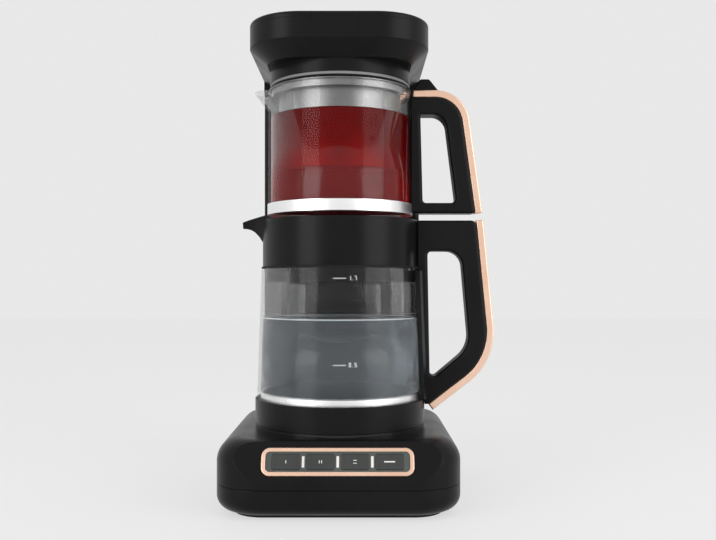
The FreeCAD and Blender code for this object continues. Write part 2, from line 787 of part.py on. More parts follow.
def tower():
    """Front channel and back cover, with four screws from behind."""
    front = slab("tower_front_outer", "machine_half_width", "-tower_front_face", "tower_split",
                 "base_top", "head_band_bottom", "tower_edge")
    room = slab("tower_front_inner", "machine_half_width - shell_wall",
                "-tower_front_face - shell_wall", "tower_split + 1", "base_top - 1",
                "head_band_bottom + 1", "tower_edge - shell_wall")
    channel = cut("tower_channel", front, [room])
    bosses = []
    ways = [
        block("dock_stub_way", "plug_middle - stub_width / 2 - fit_gap", "tower_front_face - 1",
              "dock_height - stub_height / 2 - fit_gap", "stub_width + 2 * fit_gap", "6",
              "stub_height + 2 * fit_gap"),
        rod("nipple_wall_way", "nipple_radius + 0.1", "12", "nipple_x", "tower_front_face - 2",
            "dock_height", ALONG_Y),
    ]
    screws = []
    back_holes = []
    for i, (side, height) in enumerate(((s, q) for s in (-1, 1) for q in ("0.1", "0.9"))):
        x = "%d * (machine_half_width - 3 * shell_wall - 6)" % side
        z = "base_top + (head_band_bottom - base_top) * " + height
        reach = "machine_back - shell_wall - tower_front_face - 1.2 * shell_wall"
        bosses.append(rod("tower_boss_%d" % i, "4", reach, x, "tower_front_face + shell_wall / 2",
                          z, ALONG_Y))
        ways.append(rod("tower_bore_%d" % i, "1.5", "40", x, "tower_split - 6", z, ALONG_Y))
        back_holes.append(rod("back_hole_%d" % i, "1.8", "40", x, "tower_split", z, ALONG_Y))
        shank = rod("tower_shank_%d" % i, "1.4", "20.2", x, "machine_back - 20", z, ALONG_Y)
        top = rod("tower_head_%d" % i, "3", "1.6", x, "machine_back + 0.05", z, ALONG_Y)
        screws.append(joined("tower_screw_%d" % i, [shank, top]))
    keep(cut("tower_front_shell", joined("tower_front_mass", [channel] + bosses), ways),
         "tower_front")
    cover = slab("tower_back_outer", "machine_half_width", "-tower_split", "machine_back",
                 "base_top", "head_band_bottom", None, "tower_corner")
    cover_room = slab("tower_back_inner", "machine_half_width - shell_wall",
                      "-tower_split + 1", "machine_back - shell_wall", "base_top - 1",
                      "head_band_bottom + 1", None, "tower_corner - shell_wall")
    keep(cut("tower_back_shell", cover, [cover_room] + back_holes), "tower_back")
    keep(group("screws_behind", screws), "tower_screws")


def head():
    """Head shell with its bevelled underside and neck, and the flat cover on top."""
    upper = slab("head_upper", "machine_half_width", "head_front", "machine_back",
                 "head_band_bottom", "head_cover_bottom", "head_corner", "tower_corner")
    lower = slab("head_lower", "machine_half_width", "head_front", "tower_front_face - 0.2",
                 "head_floor", "head_band_bottom", "head_corner")
    bevel = bevel_ring()
    neck = rod("neck_outer", "neck_radius", "head_floor - neck_bottom + 1", z="neck_bottom")
    mass = joined("head_mass", [upper, cut("head_lower_bevelled", lower, [bevel]), neck])
    wall = "shell_wall"
    upper_room = slab("head_upper_room", "machine_half_width - shell_wall",
                      "head_front - shell_wall", "machine_back - shell_wall",
                      "head_band_bottom + shell_wall", "head_cover_bottom + 1",
                      "head_corner - shell_wall", "tower_corner - shell_wall")
    lower_room = slab("head_lower_room", "machine_half_width - head_bevel - shell_wall",
                      "head_front - head_bevel - shell_wall", "tower_front_face - 3 * shell_wall",
                      "head_floor + shell_wall", "head_cover_bottom",
                      "head_corner - head_bevel - shell_wall")
    neck_room = rod("neck_room", "neck_inner", "head_floor - neck_bottom + 10",
                    z="neck_bottom - 1")
    hose_way = block("head_hose_way", "-hose_bay_half_width", "tower_front_face + 4",
                     "head_floor", "2 * hose_bay_half_width",
                     "machine_back - tower_front_face - 10", "20")
    keep(cut("head_body", mass, [upper_room, lower_room, neck_room, hose_way]), "head_shell")
    cover = slab("cover_plate", "machine_half_width", "head_front", "machine_back",
                 "head_cover_bottom", "head_top", "head_corner", "tower_corner")
    rounded(cover, "head_top_round", edges_at_height("head_top"))
    rim = slab("cover_rim", "machine_half_width - shell_wall - 0.2",
               "head_front - shell_wall - 0.2", "machine_back - shell_wall - 0.2",
               "head_cover_bottom - 3", "head_cover_bottom", "head_corner - shell_wall - 0.2",
               "tower_corner - shell_wall - 0.2")
    rim_room = slab("cover_rim_room", "machine_half_width - 2 * shell_wall",
                    "head_front - 2 * shell_wall", "machine_back - 2 * shell_wall",
                    "head_cover_bottom - 4", "head_cover_bottom + shell_wall",
                    "head_corner - 2 * shell_wall", "tower_corner - 2 * shell_wall")
    keep(cut("head_lid", joined("head_lid_mass", [cover, rim]), [rim_room]), "head_cover")


def bevel_ring():
    """What the bevel takes off the head's lower part, on the front and both sides."""
    low, high = size("head_floor"), size("head_band_bottom")
    inset = size("head_bevel")
    wide, front = size("machine_half_width"), size("head_front")
    corner, back = size("head_corner"), size("tower_front_face")

    def plan(level, shrink):
        """The head's outline, pulled in by shrink, as a level wire."""
        half, round_, front_line = wide - shrink, corner - shrink, -(front - shrink)
        wire = rounded_path([(-half, back + 5), (-half, front_line), (half, front_line),
                             (half, back + 5)], [0, round_, round_, 0], True)
        wire.rotate(FreeCAD.Vector(0, 0, 0), FreeCAD.Vector(1, 0, 0), -90)
        wire.translate(FreeCAD.Vector(0, 0, level))
        return wire
    kept = Part.makeLoft([plan(low, inset), plan(high, 0)], True, True)
    around = Part.makeBox(4 * wide, front + back, high - low,
                          FreeCAD.Vector(-2 * wide, -front - 1, low))
    return solid("head_bevel_ring", around.cut(kept))


def neck_parts():
    """Grey seal under the neck, shower plate on it, and the spray cup above."""
    seal = turned("seal", [
        ("neck_inner - 3", "seal_bottom"),
        ("neck_radius - 0.4", "seal_bottom"),
        ("neck_radius - 0.4", "neck_bottom"),
        ("neck_inner - 3", "neck_bottom"),
    ])
    keep(seal, "neck_seal")
    plate = rod("shower_disc", "neck_inner - fit_gap", "shower_thickness", z="neck_bottom")
    holes = []
    for ring, count in ((1, 6), (2, 12), (3, 18)):
        for i in range(count):
            turn = 360 * i / count
            spot = "%g * %s(%g)"
            holes.append(rod("shower_hole_%d_%d" % (ring, i), "shower_hole / 2",
                             "shower_thickness + 2", spot % (9 * ring, "cos", turn),
                             spot % (9 * ring, "sin", turn), "neck_bottom - 1"))
    keep(cut("shower", plate, holes), "shower_plate")
    cup = turned("cup", [
        ("spray_cup_radius", "cup_bottom"),
        ("spray_cup_radius", "cup_top"),
        ("4 + 3", "cup_top"),
        ("4 + 3", "cup_top + 12"),
        ("4 + 0.1", "cup_top + 12"),
        ("4 + 0.1", "cup_top + 5.8"),
        ("2.5", "cup_top + 5.8"),
        ("2.5", "cup_top - 2"),
        ("spray_cup_radius - 2", "cup_top - 2"),
        ("spray_cup_radius - 2", "cup_bottom"),
    ])
    keep(cup, "spray_cup")


def gland():
    """Cord gland in the back wall of the tray."""
    x, z = "gland_x", "gland_height"
    collar = rod("gland_flange", "gland_radius + 3", "2", x, "machine_back", z, ALONG_Y)
    sleeve = rod("gland_sleeve", "gland_radius", "12", x, "machine_back - 10", z, ALONG_Y)
    bore = rod("gland_way", "gland_bore", "20", x, "machine_back - 12", z, ALONG_Y)
    keep(cut("gland", joined("gland_mass", [collar, sleeve]), [bore]), "cord_gland")


def base_screws():
    """Four screws up through the tray into the housing."""
    screws = []
    for i, (x, y) in enumerate(screw_spots()):
        shank = rod("base_shank_%d" % i, "1.4", "30", x, y, "foot_height + 2")
        top = rod("base_head_%d" % i, "3", "1.6", x, y, "foot_height + 1.2")
        screws.append(joined("base_screw_%d" % i, [shank, top]))
    keep(group("screws_below", screws), "base_screws")


# Kettle
def kettle_foot():
    """Base ring, floor, heating plate and what is under the plate."""
    ring = turned("ring_turned", [
        ("ring_radius - ring_wall", "kettle_foot"),
        ("ring_radius", "kettle_foot"),
        ("ring_radius", "ring_top"),
        ("ring_lip", "ring_top"),
        ("ring_lip", "ledge_top"),
        ("ring_lip - ledge_width", "ledge_top"),
        ("ring_lip - ledge_width", "ledge_bottom"),
        ("ring_radius - ring_wall", "ledge_bottom"),
    ])
    rounded(ring, "0.8", round_edges_at("ring_radius", "ring_top"))
    socket_way = block("socket_way", "-20 - fit_gap", "50", "kettle_foot + kettle_floor_thickness",
                       "40 + 2 * fit_gap", "40",
                       "ledge_bottom - kettle_foot - kettle_floor_thickness")
    keep(cut("ring", ring, [socket_way]), "kettle_base_ring")
    keep(rod("floor_disc", "ring_radius - ring_wall - fit_gap", "kettle_floor_thickness",
             z="kettle_foot"), "kettle_floor")
    keep(turned("seal_turned", [
        ("plate_radius + fit_gap", "ledge_top"),
        ("ring_lip - 0.1", "ledge_top"),
        ("ring_lip - 0.1", "glass_bottom"),
        ("plate_radius + fit_gap", "glass_bottom"),
    ]), "plate_seal")
    plate = turned("plate_turned", [
        ("0", "plate_top - plate_thickness"),
        ("plate_radius - plate_thickness", "plate_top - plate_thickness"),
        ("plate_radius - plate_thickness", "ledge_top"),
        ("plate_radius", "ledge_top"),
        ("plate_radius", "plate_top - plate_edge"),
        ("plate_radius - plate_edge", "plate_top"),
        ("0", "plate_top"),
    ])
    drain = rod("drain_hole", "outlet_bore", "8", "nipple_x", "outlet_radius", "plate_top - 5")
    keep(cut("plate_shape", plate, [drain]), "heating_plate")
    keep(rod("spreader_disc", "spreader_radius", "spreader_thickness", z="spreader_bottom"),
         "heat_spreader")
    element = doc.addObject("Part::Torus", "element_ring")
    element.setExpression("Radius1", bound("element_radius"))
    element.setExpression("Radius2", bound("element_tube"))
    element.Angle3 = 325
    place(element, z="spreader_bottom - element_tube", axis=(0, 0, 1), angle=107)
    keep(element, "heating_element")
    keep(rod("thermostat_puck", "17", "thermostat_height",
             z="spreader_bottom - thermostat_height"), "thermostat")
    x, y, z = "nipple_x", "outlet_radius", "dock_height"
    down = rod("elbow_down", "outlet_tube", "plate_top - plate_thickness - dock_height", x, y, z)
    along = rod("elbow_along", "outlet_tube", "socket_front - outlet_radius", x, y, z, ALONG_Y)
    corner = doc.addObject("Part::Sphere", "elbow_corner")
    corner.setExpression("Radius", bound("outlet_tube"))
    place(corner, x, y, z)
    bores = [
        rod("elbow_down_bore", "outlet_bore", "plate_top - dock_height", x, y, z),
        rod("elbow_along_bore", "outlet_bore", "20", x, y, z, ALONG_Y),
    ]
    keep(cut("elbow", joined("elbow_mass", [down, along, corner]), bores), "outlet_elbow")
    low = "kettle_foot + kettle_floor_thickness"
    body = block("socket_block", "-20", "socket_front", low, "40", "15",
                 "ledge_bottom - (%s)" % low)
    keep(cut("socket", body, [
        block("power_cavity", "plug_middle - plug_width / 2 - socket_clearance",
              "socket_front + 4", "dock_height - plug_height / 2 - socket_clearance",
              "plug_width + 2 * socket_clearance", "20", "plug_height + 2 * socket_clearance"),
        rod("water_cavity", "nipple_radius + 0.6", "20", "nipple_x", "socket_front - 1",
            "dock_height", ALONG_Y),
    ]), "dock_socket")


def kettle_glass():
    glass = turned("kettle_glass_turned", [
        ("glass_foot_radius - glass_wall", "glass_bottom"),
        ("glass_foot_radius", "glass_bottom"),
        ("glass_top_radius", "kettle_glass_top"),
        ("glass_top_radius - glass_wall", "kettle_glass_top"),
    ])
    keep(glass, "kettle_glass")


def kettle_collar():
    """Collar with the teapot's seat, a rear locating lip and the pouring spout."""
    keep(turned("collar_gasket_turned", [
        ("glass_top_radius - glass_wall", "kettle_glass_top"),
        ("glass_top_radius", "kettle_glass_top"),
        ("glass_top_radius", "collar_bottom"),
        ("glass_top_radius - glass_wall", "collar_bottom"),
    ]), "collar_gasket")
    wall = turned("collar_turned", [
        ("skirt_radius - 2.5", "kettle_glass_top - collar_skirt"),
        ("skirt_radius", "kettle_glass_top - collar_skirt"),
        ("skirt_radius", "collar_bottom"),
        ("collar_radius", "collar_bottom"),
        ("collar_radius", "collar_top"),
        ("mouth_radius", "collar_top"),
        ("mouth_radius", "collar_top - seat_thickness"),
        ("collar_inner", "collar_top - seat_thickness"),
        ("collar_inner", "collar_bottom + 1"),
        ("skirt_radius - 2.5", "collar_bottom - 1"),
    ])
    lip = turned("lip_turned", [
        ("lip_inner", "collar_top - 0.5"),
        ("collar_radius", "collar_top - 0.5"),
        ("collar_radius", "collar_top + lip_height"),
        ("lip_inner", "collar_top + lip_height"),
    ])
    front = block("lip_front", "-2 * collar_radius", "-2 * collar_radius", "collar_top - 1",
                  "4 * collar_radius", "2 * collar_radius", "20")
    rear_lip = cut("rear_lip", lip, [front])
    outer, inner = spout_shapes()
    inside = rod("spout_limit", "collar_inner + 0.2", "100", z="collar_bottom")
    beak = cut("spout_beak", outer, [inside])
    whole = joined("collar_mass", [wall, rear_lip, beak])
    keep(cut("collar", whole, [inner]), "kettle_collar")
    strainer = block("strainer_sheet", "-collar_inner + 4.5", "-15", "collar_bottom + 4", "0.8",
                     "30", "collar_top - seat_thickness - collar_bottom - 4")
    holes = []
    for column in range(-4, 5):
        for level in range(7):
            holes.append(rod("strainer_hole_%d_%d" % (column + 4, level), "1", "6",
                             "-collar_inner + 2", "%g" % (3 * column),
                             "collar_bottom + 8 + %g" % (4 * level), ALONG_X))
    keep(cut("strainer", strainer, holes), "spout_strainer")


def spout_shapes():
    """Outer beak and the channel inside it, as lofts from the collar to the tip."""
    top = size("collar_top")
    tip, root = size("spout_reach"), size("teapot_radius + 2 * fit_gap")
    tip_half, root_half = size("spout_tip_half_width"), size("spout_half_width")
    tip_depth, root_depth = size("spout_tip_depth"), size("spout_root_depth")
    tip_drop, root_rise = size("spout_tip_drop"), size("lip_height")

    def section(share, shrink, lift, past):
        """A cut across the beak: share is 0 at the tip and 1 at the root."""
        x = -tip - past + share * (tip + past - root)
        half = tip_half + (root_half - tip_half) * share ** 1.3 - shrink
        low = top - tip_depth - (root_depth - tip_depth) * share ** 2.5 + shrink
        high = top - tip_drop + (tip_drop + root_rise) * share ** 0.8 + lift
        corners = [(-half, high), (half, high), (half * 0.45, low), (-half * 0.45, low)]
        points = [FreeCAD.Vector(x, y, z) for y, z in corners]
        return Part.makePolygon(points + points[:1])

    def beak(root_share, shrink=0, lift=0, past=0):
        steps = 6
        return Part.makeLoft([section(root_share * (1 - i / steps), shrink, lift, past)
                              for i in range(steps + 1)], True, True)
    outer = solid("spout_outer", beak(1))
    inner = solid("spout_inner", beak(1.1, size("spout_wall"), 1, 0.2))
    return outer, inner


def kettle_handle():
    """Loop handle with a saddle that follows the glass, and its rose-gold strip."""
    top = size("collar_top")
    foot = size("kettle_foot + kettle_heel_height")
    shoulder = (size("collar_radius + kettle_shoulder_reach"), top)
    elbow = (size("collar_radius + kettle_elbow_reach"), size("kettle_foot + kettle_elbow_height"))
    heel = (size("ring_radius + kettle_heel_reach"), foot)
    start = size("glass_top_radius") - 6
    bend = size("kettle_handle_bend")
    outer = rounded_path([(start, top), shoulder, elbow, heel, (start, foot)],
                         [0, 5, bend, 3, 0], True)
    grip = size("kettle_grip")
    bracket = size("ring_radius + fit_gap + bracket_clearance")
    gap_top = top - grip * 1.55
    inner_points = [
        (bracket - 2, gap_top),
        (shoulder[0] - grip * 0.75, gap_top),
        (elbow[0] - grip, elbow[1] + grip * 0.5),
        (bracket, foot + size("kettle_grip_foot")),
    ]
    inner = rounded_path(inner_points, [4, 14, 24, 4], True)
    width = size("handle_width")
    loop = softened(thick_profile([outer, inner], width), size("handle_edge"))
    saddle = glass_saddle()
    whole = loop.fuse(saddle).cut(kettle_clearance()).removeSplitter()
    keep(solid("kettle_handle_shape", largest(whole)), "kettle_handle")
    strip = edge_strip([shoulder, elbow, heel], [bend])
    keep(solid("kettle_strip_shape", strip), "kettle_handle_strip")


def largest(shape):
    return max(shape.Solids, key=lambda part: part.Volume)


def edge_strip(points, radii):
    """The band that lies on the outer edge of a handle, through the same corners."""
    thick = size("strip_thickness")
    gap = 0.05
    near = offset_corners(points, gap)
    far = offset_corners(points, gap + thick)
    near_radii = [0] + [r + gap for r in radii] + [0]
    far_radii = [0] + [r + gap + thick for r in radii] + [0]
    ring = near + far[::-1]
    wire = rounded_path(ring, near_radii + far_radii[::-1], True)
    return softened(thick_profile([wire], size("strip_width")), size("strip_edge"))


def offset_corners(points, distance):
    """The corners of an open outline moved outwards, to the left of its direction."""
    normals = []
    for (ax, az), (bx, bz) in zip(points, points[1:]):
        length = math.hypot(bx - ax, bz - az)
        normals.append((-(bz - az) / length, (bx - ax) / length))
    moved = []
    for i, (x, z) in enumerate(points):
        first = normals[max(i - 1, 0)]
        second = normals[min(i, len(normals) - 1)]
        mix = (first[0] + second[0], first[1] + second[1])
        scale = distance / (1 + first[0] * second[0] + first[1] * second[1])
        moved.append((x + mix[0] * scale, z + mix[1] * scale))
    return moved


def glass_saddle():
    """Curved plate between the handle and the kettle's tapered glass."""
    gap = size("fit_gap")
    thick = size("saddle_thickness")
    low, high = size("ring_top") + gap, size("kettle_glass_top - 2")
    profile = [
        (kettle_radius(low) + gap, low),
        (kettle_radius(low) + gap + thick, low),
        (kettle_radius(high) + gap + thick, high),
        (kettle_radius(high) + gap, high),
    ]
    spots = [FreeCAD.Vector(r, 0, z) for r, z in profile]
    face = Part.Face(Part.makePolygon(spots + spots[:1]))
    angle = size("saddle_angle")
    face.rotate(FreeCAD.Vector(0, 0, 0), FreeCAD.Vector(0, 0, 1), -angle / 2)
    return face.revolve(FreeCAD.Vector(0, 0, 0), FreeCAD.Vector(0, 0, 1), angle)


def kettle_radius(height):
    """Outer radius of the kettle's glass at a height."""
    low, high = size("glass_bottom"), size("kettle_glass_top")
    share = (height - low) / (high - low)
    return size("glass_foot_radius") * (1 - share) + size("glass_top_radius") * share


def kettle_clearance():
    """The room the handle leaves for the ring, the glass and the collar."""
    gap = size("fit_gap")
    low, high = size("glass_bottom"), size("kettle_glass_top")
    ring = Part.makeCylinder(size("ring_radius") + gap, size("ring_top") + gap)
    cone = Part.makeCone(size("glass_foot_radius") + gap, size("glass_top_radius") + gap,
                         high - low, FreeCAD.Vector(0, 0, low))
    collar = Part.makeCylinder(max(size("collar_radius"), size("glass_top_radius")) + gap,
                               size("collar_top") - high + 5, FreeCAD.Vector(0, 0, high - 0.01))
    return ring.fuse([cone, collar])


# Teapot
def teapot_glass():
    """Glass pot with a pouring lip drawn out of its rim."""
    outer = turned("teapot_outer", [
        ("0", "teapot_foot"),
        ("teapot_radius - 3", "teapot_foot"),
        ("teapot_radius", "teapot_foot + 3"),
        ("teapot_radius", "teapot_rim"),
        ("0", "teapot_rim"),
    ])
    inner = turned("teapot_room", [
        ("0", "teapot_foot + teapot_bottom"),
        ("teapot_inner - 3", "teapot_foot + teapot_bottom"),
        ("teapot_inner", "teapot_foot + teapot_bottom + 3"),
        ("teapot_inner", "teapot_rim + 1"),
        ("0", "teapot_rim + 1"),
    ])
    lip_outer, lip_inner = lip_shapes()
    mass = joined("teapot_mass", [outer, lip_outer])
    keep(cut("teapot", mass, [inner, lip_inner]), "teapot_glass")


def lip_shapes():
    """Lofts of the pouring lip, outside and inside."""
    rim = size("teapot_rim")
    depth = size("teapot_lip_depth")
    radius = size("teapot_radius")
    wall = size("teapot_wall")
    lean = (size("teapot_lip_reach") + 0.5) / depth

    def lip(round_, shrink, above):
        wires = []
        for level in (-depth, above):
            far = radius - 0.5 - shrink + lean * (level + depth)
            centre = FreeCAD.Vector(round_ - far, 0, rim + level)
            wires.append(Part.Wire(Part.makeCircle(round_, centre)))
        return Part.makeLoft(wires, True, True)
    round_ = size("teapot_lip_radius")
    outer = solid("lip_outer", lip(round_, 0, 0))
    return outer, solid("lip_inner", lip(round_ - wall, wall, 1))


def teapot_trim():
    band = turned("band_turned", [
        ("teapot_radius + 0.1", "band_foot"),
        ("band_radius", "band_foot"),
        ("band_radius", "band_foot + band_height"),
        ("teapot_radius + 0.1", "band_foot + band_height"),
    ])
    keep(band, "teapot_foot_band")
    basket = turned("basket_turned", [
        ("0", "teapot_rim - basket_depth"),
        ("basket_radius", "teapot_rim - basket_depth"),
        ("basket_radius", "teapot_rim - basket_flange"),
        ("teapot_inner - fit_gap", "teapot_rim - basket_flange"),
        ("teapot_inner - fit_gap", "teapot_rim + 0.05"),
        ("teapot_radius - 0.4", "teapot_rim + 0.05"),
        ("teapot_radius - 0.4", "teapot_rim + 0.05 + basket_wall"),
        ("teapot_inner - fit_gap - basket_wall", "teapot_rim + 0.05 + basket_wall"),
        ("teapot_inner - fit_gap - basket_wall", "teapot_rim - basket_flange + basket_wall"),
        ("basket_radius - basket_wall", "teapot_rim - basket_flange + basket_wall"),
        ("basket_radius - basket_wall", "teapot_rim - basket_depth + basket_wall"),
        ("0", "teapot_rim - basket_depth + basket_wall"),
    ])
    holes = []
    for ring, count in ((1, 6), (2, 12)):
        for i in range(count):
            turn = 360 * i / count
            spot = "%g * %s(%g)"
            holes.append(rod("basket_hole_%d_%d" % (ring, i), "basket_hole / 2", "6",
                             spot % (17 * ring, "cos", turn), spot % (17 * ring, "sin", turn),
                             "teapot_rim - basket_depth - 2"))
    slots = []
    for i in range(12):
        slot = rod("basket_side_%d" % i, "basket_hole", "basket_radius + 5",
                   z="teapot_rim - basket_depth + 12 + %g" % (10 * (i % 3)))
        level = FreeCAD.Rotation(FreeCAD.Vector(0, 1, 0), 90)
        slot.Placement.Rotation = FreeCAD.Rotation(FreeCAD.Vector(0, 0, 1), 30 * i) * level
        slots.append(slot)
    keep(cut("basket", basket, holes + slots), "infuser_basket")


def teapot_handle():
    """Loop handle of the teapot, its rose-gold strip and the thumb rest on top."""
    top, bottom = size("teapot_handle_top"), size("teapot_handle_bottom")
    start = size("teapot_radius") - 3
    shoulder = (size("teapot_radius + teapot_shoulder_reach"), top)
    heel = (size("teapot_radius + teapot_heel_reach"), bottom)
    bend = size("teapot_handle_bend")
    outer = rounded_path([(start, top), shoulder, heel, (start, bottom)], [0, bend, 2, 0], True)
    grip = size("teapot_grip")
    inside = size("teapot_radius + bracket_thickness")
    bar = 9.2
    inner = rounded_path([
        (inside, top - grip * 0.95),
        (shoulder[0] - grip * 0.78, top - grip * 0.95),
        (heel[0] - grip * 1.05, bottom + bar),
        (inside + 2, bottom + bar),
    ], [2, 13, 4, 3], True)
    width = size("handle_width")
    gap = size("fit_gap")
    loop = softened(thick_profile([outer, inner], width), size("handle_edge"))
    room = Part.makeCylinder(size("teapot_radius") + gap, top)
    band = Part.makeCylinder(size("band_radius") + gap, size("band_height") + 2 * gap,
                             FreeCAD.Vector(0, 0, size("band_foot") - gap))
    whole = loop.cut(room.fuse(band)).removeSplitter()
    keep(solid("teapot_handle_shape", largest(whole)), "teapot_handle")
    rim_edge = size("teapot_radius") + 1
    strip = edge_strip([(rim_edge, top), shoulder, heel], [bend])
    keep(solid("teapot_strip_shape", strip), "teapot_handle_strip")
    over = top + size("strip_thickness") + 0.1
    high = over + size("thumb_height")
    near = size("neck_radius") + 3
    hump = rounded_path([
        (near, over), (near + 1, over + 2.5), (near + 6, high), (near + 14, high),
        (near + 22, over),
    ], [0, 0, 3, 3, 0], True)
    thumb = softened(thick_profile([hump], size("thumb_width")), size("strip_edge"))
    keep(solid("thumb_shape", thumb), "thumb_rest")


def main():
    base_tray()
    base_housing()
    foot_strip()
    pot_platform()
    control_panel()
    electronics()
    pump()
    hoses()
    dock()
    tower()
    head()
    neck_parts()
    gland()
    base_screws()
    kettle_foot()
    kettle_glass()
    kettle_collar()
    kettle_handle()
    teapot_glass()
    teapot_trim()
    teapot_handle()
    doc.recompute()
    troubled = [o.Label for o in doc.Objects if {"Invalid", "Error"} & set(o.State)]
    if troubled:
        raise RuntimeError("these objects failed: %s" % ", ".join(troubled))
    for node in nodes:
        if node.Shape.isNull() or not node.Shape.isValid():
            raise RuntimeError("%s has no valid shape" % node.Label)
    os.makedirs("parts", exist_ok=True)
    for node in nodes:
        node.Shape.exportStep("parts/%s.step" % node.Label)
        print(node.Label, len(node.Shape.Solids), round(node.Shape.Volume))


main()
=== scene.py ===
import math

import bmesh
import bpy
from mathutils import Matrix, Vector


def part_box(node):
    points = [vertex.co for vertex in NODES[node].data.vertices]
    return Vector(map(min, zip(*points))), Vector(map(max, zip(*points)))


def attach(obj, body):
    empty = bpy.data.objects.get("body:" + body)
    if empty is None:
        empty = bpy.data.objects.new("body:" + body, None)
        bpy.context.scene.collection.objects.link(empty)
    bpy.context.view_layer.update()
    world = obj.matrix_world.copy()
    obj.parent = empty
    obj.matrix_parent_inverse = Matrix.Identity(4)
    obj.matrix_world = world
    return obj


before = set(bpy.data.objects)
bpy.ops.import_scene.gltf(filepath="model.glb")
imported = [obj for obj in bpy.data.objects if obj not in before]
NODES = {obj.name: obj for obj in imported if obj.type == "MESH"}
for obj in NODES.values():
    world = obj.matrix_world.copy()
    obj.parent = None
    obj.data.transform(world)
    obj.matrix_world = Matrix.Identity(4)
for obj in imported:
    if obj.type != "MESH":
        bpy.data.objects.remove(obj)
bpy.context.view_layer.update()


# Camera: straight on and a little below the middle of the machine, as in the photograph
FILM_WIDTH = 36.0
LENS = 43.7
PICTURE_SHIFT = 0.021
NEAREST_SEEN = 0.01
CAMERA_PLACE = (0.016, -0.775, 0.186)


def make_camera():
    data = bpy.data.cameras.new("camera")
    data.sensor_width = FILM_WIDTH
    data.lens = LENS
    data.shift_y = PICTURE_SHIFT
    data.clip_start = NEAREST_SEEN
    camera = bpy.data.objects.new("camera", data)
    bpy.context.scene.collection.objects.link(camera)
    camera.location = CAMERA_PLACE
    camera.rotation_euler = (math.radians(90), 0, 0)
    bpy.context.scene.camera = camera


# Materials. Colours run from dark to light and roughness from low to high over a noise.
# Lengths, such as the relief and the softened edge, are in metres.
COAT_ROUGHNESS = 0.06
EDGE_SAMPLES = 4


def tree_of(name):
    material = bpy.data.materials.new(name)
    material.use_nodes = True
    tree = material.node_tree
    return material, tree, tree.nodes["Principled BSDF"]


def noise_of(tree, scale, detail=3.0, stretch=(1, 1, 1), rough=0.5):
    """Noise on object coordinates, with one cell about 1 / scale metres."""
    place = tree.nodes.new("ShaderNodeTexCoord")
    spread = tree.nodes.new("ShaderNodeMapping")
    spread.inputs["Scale"].default_value = stretch
    noise = tree.nodes.new("ShaderNodeTexNoise")
    noise.inputs["Scale"].default_value = scale
    noise.inputs["Detail"].default_value = detail
    noise.inputs["Roughness"].default_value = rough
    tree.links.new(place.outputs["Object"], spread.inputs["Vector"])
    tree.links.new(spread.outputs["Vector"], noise.inputs["Vector"])
    return noise.outputs["Fac"]


def ranged(tree, value, span, start=0.3, stop=0.7):
    """A value from start to stop spread over the span."""
    node = tree.nodes.new("ShaderNodeMapRange")
    node.inputs["From Min"].default_value = start
    node.inputs["From Max"].default_value = stop
    node.inputs["To Min"].default_value = span[0]
    node.inputs["To Max"].default_value = span[1]
    tree.links.new(value, node.inputs["Value"])
    return node.outputs["Result"]


def blended(tree, value, dark, light, start=0.3, stop=0.7):
    """A colour that goes from dark to light as a value goes from start to stop."""
    ramp = tree.nodes.new("ShaderNodeValToRGB")
    ramp.color_ramp.elements[0].position = start
    ramp.color_ramp.elements[1].position = stop
    ramp.color_ramp.elements[0].color = (*dark, 1)
    ramp.color_ramp.elements[1].color = (*light, 1)
    tree.links.new(value, ramp.inputs["Fac"])
    return ramp.outputs["Color"]


def bumped(tree, shader, height, distance, strength=1.0, edge=0.0):
    """Fine relief on the shader's normal, over softly rounded edges."""
    bump = tree.nodes.new("ShaderNodeBump")
    bump.inputs["Distance"].default_value = distance
    bump.inputs["Strength"].default_value = strength
    tree.links.new(height, bump.inputs["Height"])
    if edge:
        bevel = tree.nodes.new("ShaderNodeBevel")
        bevel.samples = EDGE_SAMPLES
        bevel.inputs["Radius"].default_value = edge
        tree.links.new(bevel.outputs["Normal"], bump.inputs["Normal"])
    tree.links.new(bump.outputs["Normal"], shader.inputs["Normal"])


def plastic(name, dark, light, rough, grain, relief, specular=0.5, edge=0.0003, coat=0.0):
    """Moulded plastic with a fine grain, faint handling marks and soft edges."""
    material, tree, shader = tree_of(name)
    handling = noise_of(tree, scale=26, detail=5.0, stretch=(1, 1, 0.5), rough=0.62)
    tree.links.new(blended(tree, handling, dark, light), shader.inputs["Base Color"])
    tree.links.new(ranged(tree, handling, rough), shader.inputs["Roughness"])
    bumped(tree, shader, noise_of(tree, grain, detail=2.0), relief, edge=edge)
    shader.inputs["Specular IOR Level"].default_value = specular
    shader.inputs["Coat Weight"].default_value = coat
    shader.inputs["Coat Roughness"].default_value = COAT_ROUGHNESS
    return material


def metal(name, dark, light, rough, grain, relief, stretch=(1, 1, 1), edge=0.0002):
    """Metal with faint stains and a grain that the stretch turns into brushing."""
    material, tree, shader = tree_of(name)
    stains = noise_of(tree, scale=34, detail=4.0)
    lines = noise_of(tree, grain, stretch=stretch)
    tree.links.new(blended(tree, stains, dark, light), shader.inputs["Base Color"])
    tree.links.new(ranged(tree, lines, rough), shader.inputs["Roughness"])
    bumped(tree, shader, lines, relief, strength=0.6, edge=edge)
    shader.inputs["Metallic"].default_value = 1.0
    return material


